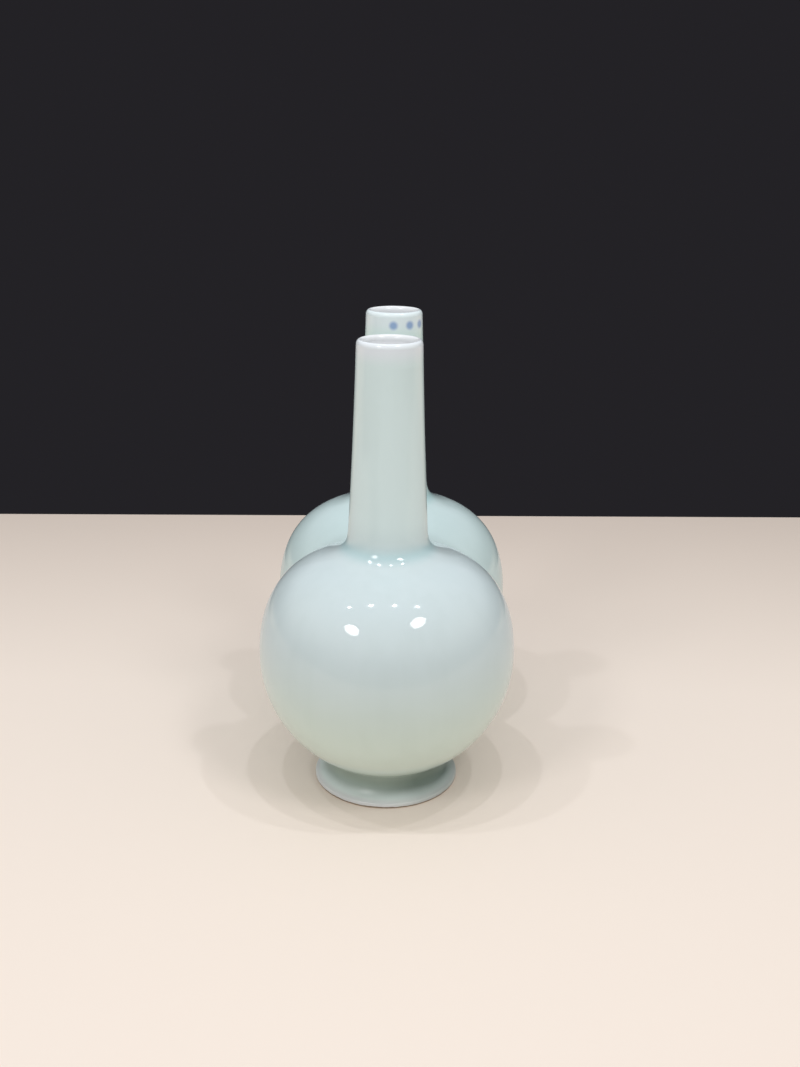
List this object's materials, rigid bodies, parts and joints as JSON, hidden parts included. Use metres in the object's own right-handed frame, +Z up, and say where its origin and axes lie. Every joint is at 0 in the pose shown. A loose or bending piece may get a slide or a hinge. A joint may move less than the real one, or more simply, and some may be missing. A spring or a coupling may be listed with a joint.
{
  "type": "double vase",
  "caption": "Celadon-glazed porcelain double vase: globular bottles joined belly to belly, each with a tall tapered neck and a low flared foot, for holding cut stems in water.",
  "frame": {"origin": "on the table, midway between the two foot rings", "axes": "+Z up; the bottles stand in a row along Y, front bottle towards -Y; +X across them"},
  "size_m": [0.12, 0.2, 0.2138],
  "materials": {
    "celadon_glaze": "glossy",
    "luting_slip": "matte"
  },
  "bodies": {
    "root": {"front_foot_ring": "celadon_glaze", "front_lower_bowl": "celadon_glaze", "front_shoulder_dome": "celadon_glaze", "front_neck": "celadon_glaze", "front_foot_seam": "luting_slip", "front_belly_seam": "luting_slip", "front_neck_seam": "luting_slip", "rear_foot_ring": "celadon_glaze", "rear_lower_bowl": "celadon_glaze", "rear_shoulder_dome": "celadon_glaze", "rear_neck": "celadon_glaze", "rear_foot_seam": "luting_slip", "rear_belly_seam": "luting_slip", "rear_neck_seam": "luting_slip", "waist_seam": "luting_slip"}
  },
  "joints": []
}
